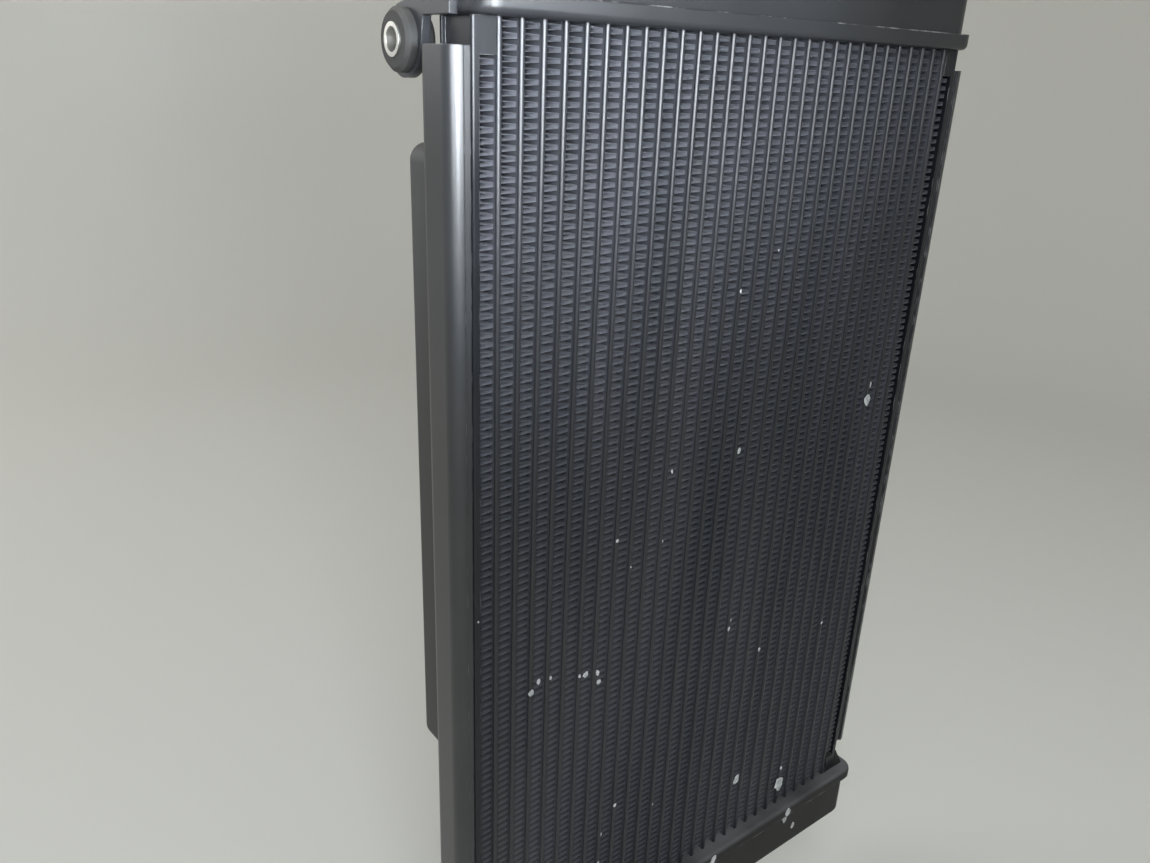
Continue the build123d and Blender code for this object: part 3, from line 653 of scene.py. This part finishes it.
# Mounting rubbers and their steel collars: moulded black rubber pressed into each eye, and
# zinc-plated turned tubes that keep the bolt from crushing it. The fan's steel shaft is
# plated like them.
soft_rubber = coating(
    "soft_rubber", (0.012, 0.012, 0.012), (0.022, 0.021, 0.020), (0.62, 0.78), cover=0.5,
    grain=1600.0, peel=0.35, patches=60.0, rounding=0.3, bare=(0.03, 0.03, 0.03), bare_metal=0.0,
)
zinc_plate = coating(
    "zinc_plate", (0.50, 0.50, 0.48), (0.68, 0.67, 0.63), (0.28, 0.42), cover=0.15,
    grain=2200.0, peel=0.12, patches=90.0, rounding=0.2, bare=(0.70, 0.70, 0.70),
    metal=1.0, bare_metal=1.0,
)
finished(soft_rubber, "upper_grommet_left", "upper_grommet_right", "lower_grommet")
finished(zinc_plate, "upper_collar_left", "upper_collar_right", "lower_collar", "fan_shaft")


# Fan shroud and frame: injection-moulded glass-filled nylon, matt black with a fine
# spark-eroded grain.
moulded_nylon = coating(
    "moulded_nylon", (0.020, 0.020, 0.021), (0.032, 0.032, 0.033), (0.48, 0.62), cover=0.45,
    grain=2600.0, peel=0.5, patches=20.0, rounding=0.3, bare=(0.06, 0.06, 0.06), bare_metal=0.0,
)
finished(moulded_nylon, "fan_shroud", "fan_frame")

# Ribs brace the fan's ring on its flange, moulded in one with it.
RING_RADIUS = 86.5 * MM
FLANGE_THICKNESS = 2.5 * MM
RIB_COUNT = 16
RIB_WALL = 1.6 * MM
RIB_RISE = 13.0 * MM
RIB_REACH = 92.2 * MM
RIB_SUNK = 0.1 * MM
fan_middle = middle_of("fan_shaft")
fan_middle.y = 0.0
flange_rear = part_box("fan_shroud")[1].y + FLANGE_THICKNESS
rib_foot = flange_rear - RIB_SUNK
rib_root = RING_RADIUS - RIB_SUNK

ribs = bmesh.new()
for n in range(RIB_COUNT):
    corners = ((rib_root, rib_foot), (RIB_REACH, rib_foot), (rib_root, flange_rear + RIB_RISE))
    side = ribs.faces.new([ribs.verts.new((r, y, -RIB_WALL / 2)) for r, y in corners])
    grown = bmesh.ops.extrude_face_region(ribs, geom=[side], use_keep_orig=True)["geom"]
    far = [part for part in grown if isinstance(part, bmesh.types.BMVert)]
    bmesh.ops.translate(ribs, vec=(0, 0, RIB_WALL), verts=far)
    rib = list(side.verts) + far
    turn = Matrix.Rotation(radians(360 / RIB_COUNT * (n + 0.5)), 3, "Y")
    bmesh.ops.rotate(ribs, matrix=turn, cent=(0, 0, 0), verts=rib)
    bmesh.ops.translate(ribs, vec=fan_middle, verts=rib)
fitted("ring_ribs", ribs, "radiator", moulded_nylon, crease=20)


# Fan motor: a deep-drawn steel can under black stoving enamel, its rear end embossed, with
# three ears and a moulded plug socket for the two leads.
can_enamel = coating(
    "can_enamel", (0.020, 0.020, 0.022), (0.036, 0.036, 0.038), (0.30, 0.42), cover=0.3,
    grain=1200.0, peel=0.2, patches=24.0, rounding=0.2,
)
CAN_DEPTH = 24.0 * MM
EAR_PLACE = 30.5 * MM
EAR_RADIUS = 4.5 * MM
EAR_WALL = 2.0 * MM
can_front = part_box("fan_motor")[0].y
ear_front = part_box("fan_frame")[1].y


def turned(shape, path, place, axis, steps=64):
    """Turns a profile of (radius, along) points in mm about an axis through place."""
    place, axis = Vector(place), Vector(axis)
    corners = [shape.verts.new(place + Vector((r * MM, 0, 0)) + axis * (a * MM)) for r, a in path]
    line = [shape.edges.new(pair) for pair in zip(corners, corners[1:])]
    bmesh.ops.spin(
        shape, geom=corners + line, cent=place, axis=axis, angle=2 * pi, steps=steps,
        use_merge=True,
    )


motor = bmesh.new()
turned(
    motor,
    (
        (0, 12.1), (4.05, 12.1), (4.05, 0), (9.5, 0), (10, 0.6), (25.5, 0.6), (27.4, 1.2),
        (28, 2.4), (28, 8.2), (27.5, 8.6), (27.5, 9.6), (28, 10.0), (28, 21), (27.6, 22.5),
        (26.5, 23.6), (25, 24), (20.4, 24), (19.6, 23.2), (12.8, 23.2), (12, 24), (9, 24),
        (9, 26.3), (8.4, 27), (5.2, 27), (4.6, 26.2), (0, 26.2),
    ),
    (fan_middle.x, can_front, fan_middle.z), (0, 1, 0),
)
for turn in (90, 210, 330):
    ear = bmesh.ops.create_cone(
        motor, cap_ends=True, segments=24, radius1=EAR_RADIUS, radius2=EAR_RADIUS, depth=EAR_WALL,
        matrix=Matrix.Rotation(pi / 2, 4, "X"),
    )["verts"]
    around = radians(turn)
    reach = (EAR_PLACE * cos(around), ear_front + EAR_WALL / 2, -EAR_PLACE * sin(around))
    bmesh.ops.translate(motor, vec=fan_middle + Vector(reach), verts=ear)
motor_can = fitted("motor_can", motor, "radiator", can_enamel, crease=30)
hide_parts("fan_motor")

# The plug socket is a rounded box with two flat pins in its mouth, under the shaft.
SOCKET_WIDTH = 14.0 * MM
SOCKET_HEIGHT = 9.0 * MM
SOCKET_REAR = 29.0 * MM
SOCKET_DROP = 18.0 * MM
SOCKET_WALL = 1.1 * MM
SOCKET_ROUNDING = 1.4 * MM
SOCKET_MOUTH = 4.6 * MM
SOCKET_SUNK = 3.0 * MM
PIN_PLACE = 3.0 * MM
PIN_WIDTH = 2.4 * MM
PIN_WALL = 0.8 * MM
PIN_LENGTH = 4.0 * MM
PIN_INSET = 1.0 * MM
socket_front = can_front + CAN_DEPTH - SOCKET_SUNK
socket_rear = can_front + SOCKET_REAR
socket_z = fan_middle.z - SOCKET_DROP

socket = bmesh.new()
socket_box = add_block(
    socket, (-SOCKET_WIDTH / 2, socket_front, socket_z - SOCKET_HEIGHT / 2),
    (SOCKET_WIDTH / 2, socket_rear, socket_z + SOCKET_HEIGHT / 2),
)
round_off(socket, edges_along(socket_box, 1), SOCKET_ROUNDING)
mouth = max(socket.faces, key=lambda face: face.calc_center_median().y)
bmesh.ops.inset_region(socket, faces=[mouth], thickness=SOCKET_WALL, use_even_offset=True)
bmesh.ops.translate(socket, vec=(0, -SOCKET_MOUTH, 0), verts=mouth.verts)
pin_rear = socket_rear - PIN_INSET
for x in (-PIN_PLACE, PIN_PLACE):
    add_block(
        socket, (x - PIN_WIDTH / 2, pin_rear - PIN_LENGTH, socket_z - PIN_WALL / 2),
        (x + PIN_WIDTH / 2, pin_rear, socket_z + PIN_WALL / 2),
    )
fitted("plug_socket", socket, "radiator", moulded_nylon)


# Fan rotor: its hub and seven blades are moulded in one, of the shroud's nylon. Each blade is
# a thin cambered sheet that is swept and set flatter towards its tip.
HUB_RADIUS = 27.0 * MM
HUB_WALL = 2.5 * MM
BLADE_COUNT = 7
BLADE_TIP = 78.8 * MM
BLADE_WALL = 2.0 * MM
BLADE_EDGE = 0.5 * MM
BLADE_CAMBER = 0.08
BLADE_MIDDLE = 7.94 * MM

# Place from the root (0) to the tip (1), chord in mm, pitch and sweep in degrees. The last
# section lies a little past the tip.
BLADE_SECTIONS = ((0.0, 17.4, 50.0, 0.0), (0.45, 27.0, 36.0, 7.0), (1.06, 34.0, 25.0, 20.0))


def blade_value(place, column):
    """A blade's chord, pitch or sweep, on a smooth curve through the three sections."""
    total = 0.0
    for this in BLADE_SECTIONS:
        share = 1.0
        for other in BLADE_SECTIONS:
            if other is not this:
                share *= (place - other[0]) / (this[0] - other[0])
        total += share * this[column]
    return total


rotor_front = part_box("fan_shaft")[0].y - HUB_WALL
hub = bmesh.new()
turned(
    hub,
    (
        (0, 0), (24, 0), (25.15, 0.23), (26.12, 0.88), (26.77, 1.85), (27, 3), (27, 13.6),
        (26.6, 14), (24.9, 14), (24.5, 13.6), (24.5, 3.5), (23.5, 2.5), (9, 2.5), (8, 3.5),
        (8, 13.6), (7.6, 14), (4.5, 14), (4.05, 13.6), (4.05, 2.5), (0, 2.5),
    ),
    (fan_middle.x, rotor_front, fan_middle.z), (0, 1, 0),
)
rotor_hub = fitted("rotor_hub", hub, "fan", moulded_nylon, crease=32)
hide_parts("fan_rotor")

blades = bmesh.new()
root = HUB_RADIUS - HUB_WALL / 2
for n in range(BLADE_COUNT):
    sheet = bmesh.ops.create_grid(blades, x_segments=10, y_segments=16, size=1.0)["verts"]
    for vert in sheet:
        across, place = vert.co.x, (vert.co.y + 1) / 2
        chord = blade_value(place, 1) * MM
        lean = radians(blade_value(place, 2))
        bulge = BLADE_CAMBER * chord * (1 - across ** 2)
        around = across * chord / 2 * cos(lean) + bulge * sin(lean)
        rise = across * chord / 2 * sin(lean) - bulge * cos(lean)
        radius = root + place * (BLADE_TIP - root)
        turn = radians(blade_value(place, 3) + 360 / BLADE_COUNT * n) + around / radius
        spot = Vector((radius * sin(turn), rotor_front + BLADE_MIDDLE + rise, -radius * cos(turn)))
        vert.co = fan_middle + spot
rotor_blades = fitted("rotor_blades", blades, "fan", moulded_nylon)
blade_wall = rotor_blades.modifiers.new("wall", "SOLIDIFY")
blade_wall.thickness = BLADE_WALL
blade_wall.offset = 0.0
blade_edge = rotor_blades.modifiers.new("edge", "BEVEL")
blade_edge.width = BLADE_EDGE
blade_edge.segments = 2
blade_edge.limit_method = "ANGLE"
blade_edge.angle_limit = radians(50)
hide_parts("fan_rotor")


# Screws: zinc-plated hexagon screws with a washer face hold the hood to its lugs, the ring to
# the hood, and the motor to its arms.
HOOD_SCREW = 3.3 * MM
RING_SCREW = 3.2 * MM
MOTOR_SCREW = 2.6 * MM
LUG_PLACE = 102.3 * MM
LUG_REAR = 12.5 * MM
LUG_HEIGHTS = (140.5 * MM, 359.5 * MM)
RING_CORNER = 67.5 * MM


def screw(shape, x, y, z, radius):
    """One screw head that faces the rear, its underside at depth y. radius is its washer's."""
    face_rear = Matrix.Rotation(-pi / 2, 4, "X")

    # Sides, underside and top above the surface, and the radius at each
    washer = (24, -0.1 * MM, 0.8 * MM, radius, radius * 0.9)
    hexagon = (6, 0.6 * MM, radius * 0.85, radius * 0.72, radius * 0.72)
    for segments, low, high, wide, narrow in (washer, hexagon):
        place = Matrix.Translation((x, y + (low + high) / 2, z)) @ face_rear
        head = bmesh.ops.create_cone(
            shape, cap_ends=True, segments=segments, radius1=wide, radius2=narrow,
            depth=high - low, matrix=place,
        )["verts"]
        rim = [
            edge for edge in {edge for vert in head for edge in vert.link_edges}
            if all(abs(vert.co.y - (y + high)) < 1e-6 for vert in edge.verts)
        ]
        round_off(shape, rim, radius * 0.1, 2)


screws = bmesh.new()
ear_rear = ear_front + EAR_WALL
for side in (-1, 1):
    for z in LUG_HEIGHTS:
        screw(screws, side * LUG_PLACE, LUG_REAR, z, HOOD_SCREW)
    for up in (-1, 1):
        z = fan_middle.z + up * RING_CORNER
        screw(screws, side * RING_CORNER, flange_rear, z, RING_SCREW)
    x = side * EAR_PLACE * cos(radians(30))
    screw(screws, x, ear_rear, fan_middle.z + EAR_PLACE * sin(radians(30)), MOTOR_SCREW)
screw(screws, 0, ear_rear, fan_middle.z - EAR_PLACE, MOTOR_SCREW)
fitted("screws", screws, "radiator", zinc_plate, crease=30)


# Pressure cap: pressed from bright steel sheet. Its crown is embossed round the rivet that
# holds the valve, its skirt is fluted for grip, and two ears stand out to turn it by.
pressed_steel = coating(
    "pressed_steel", (0.50, 0.50, 0.51), (0.66, 0.66, 0.66), (0.22, 0.36), cover=0.15,
    grain=1800.0, peel=0.15, patches=50.0, rounding=0.3, bare=(0.75, 0.75, 0.75),
    metal=1.0, bare_metal=1.0, stretch=(1.0, 6.0, 1.0),
)
FLUTE_COUNT = 20
FLUTE_DEPTH = 0.5 * MM
FLUTE_HEIGHT = 7.0 * MM
SKIRT_INSIDE = 19.3 * MM
cap_low, cap_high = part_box("cap_shell")
cap_middle = middle_of("cap_shell")

cap = bmesh.new()
turned(
    cap,
    (
        (0, 11.3), (1.6, 11.2), (2.8, 10.7), (3.0, 10.2), (4.6, 10.2), (5.4, 10.9), (6.2, 11.2),
        (10.4, 11.2), (11.6, 10.8), (12.6, 9.7), (13.4, 9.4), (17.8, 9.4), (19.1, 8.9),
        (19.7, 7.6), (19.7, 6.6), (19.7, 0.5), (19.4, 0.05), (18.8, 0.05), (18.3, 0.5), (18.3, 8),
        (0, 8),
    ),
    (cap_middle.x, cap_middle.y, cap_low.z), (0, 0, 1), FLUTE_COUNT * 6,
)
for vert in cap.verts:
    arm = Vector((vert.co.x - cap_middle.x, vert.co.y - cap_middle.y))
    if arm.length > SKIRT_INSIDE and vert.co.z < cap_low.z + FLUTE_HEIGHT:
        dent = FLUTE_DEPTH * (0.5 - 0.5 * cos(FLUTE_COUNT * atan2(arm.y, arm.x)))
        arm *= (arm.length - dent) / arm.length
        vert.co.x, vert.co.y = cap_middle.x + arm.x, cap_middle.y + arm.y


def cap_block(left, right, half_width, bottom, top):
    """A block on the cap, in mm from its axis and from its skirt's lower edge."""
    return add_block(
        cap, (cap_middle.x + left * MM, -half_width * MM, cap_low.z + bottom * MM),
        (cap_middle.x + right * MM, half_width * MM, cap_low.z + top * MM),
    )


# One slab makes both ears. Each has a stiffening bar, and a hook inside the skirt.
ear_reach = (cap_high.x - cap_low.x) / 2 / MM
slab = cap_block(-ear_reach, ear_reach, 7.5, 8.05, 9.3)
round_off(cap, edges_along(slab, 2), 5.0 * MM, 6)
for bar_ends, hook_ends in (((-26.0, -21.5), (-18.6, -14.6)), ((21.5, 26.0), (14.6, 18.6))):
    bar = cap_block(*bar_ends, 1.2, 9.2, 9.9)
    round_off(cap, edges_along(bar, 2), 1.1 * MM)
    cap_block(*hook_ends, 4.5, 4.2, 5.6)
pressed_cap = fitted("pressed_cap", cap, "pressure_cap", pressed_steel, crease=32)
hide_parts("cap_shell")
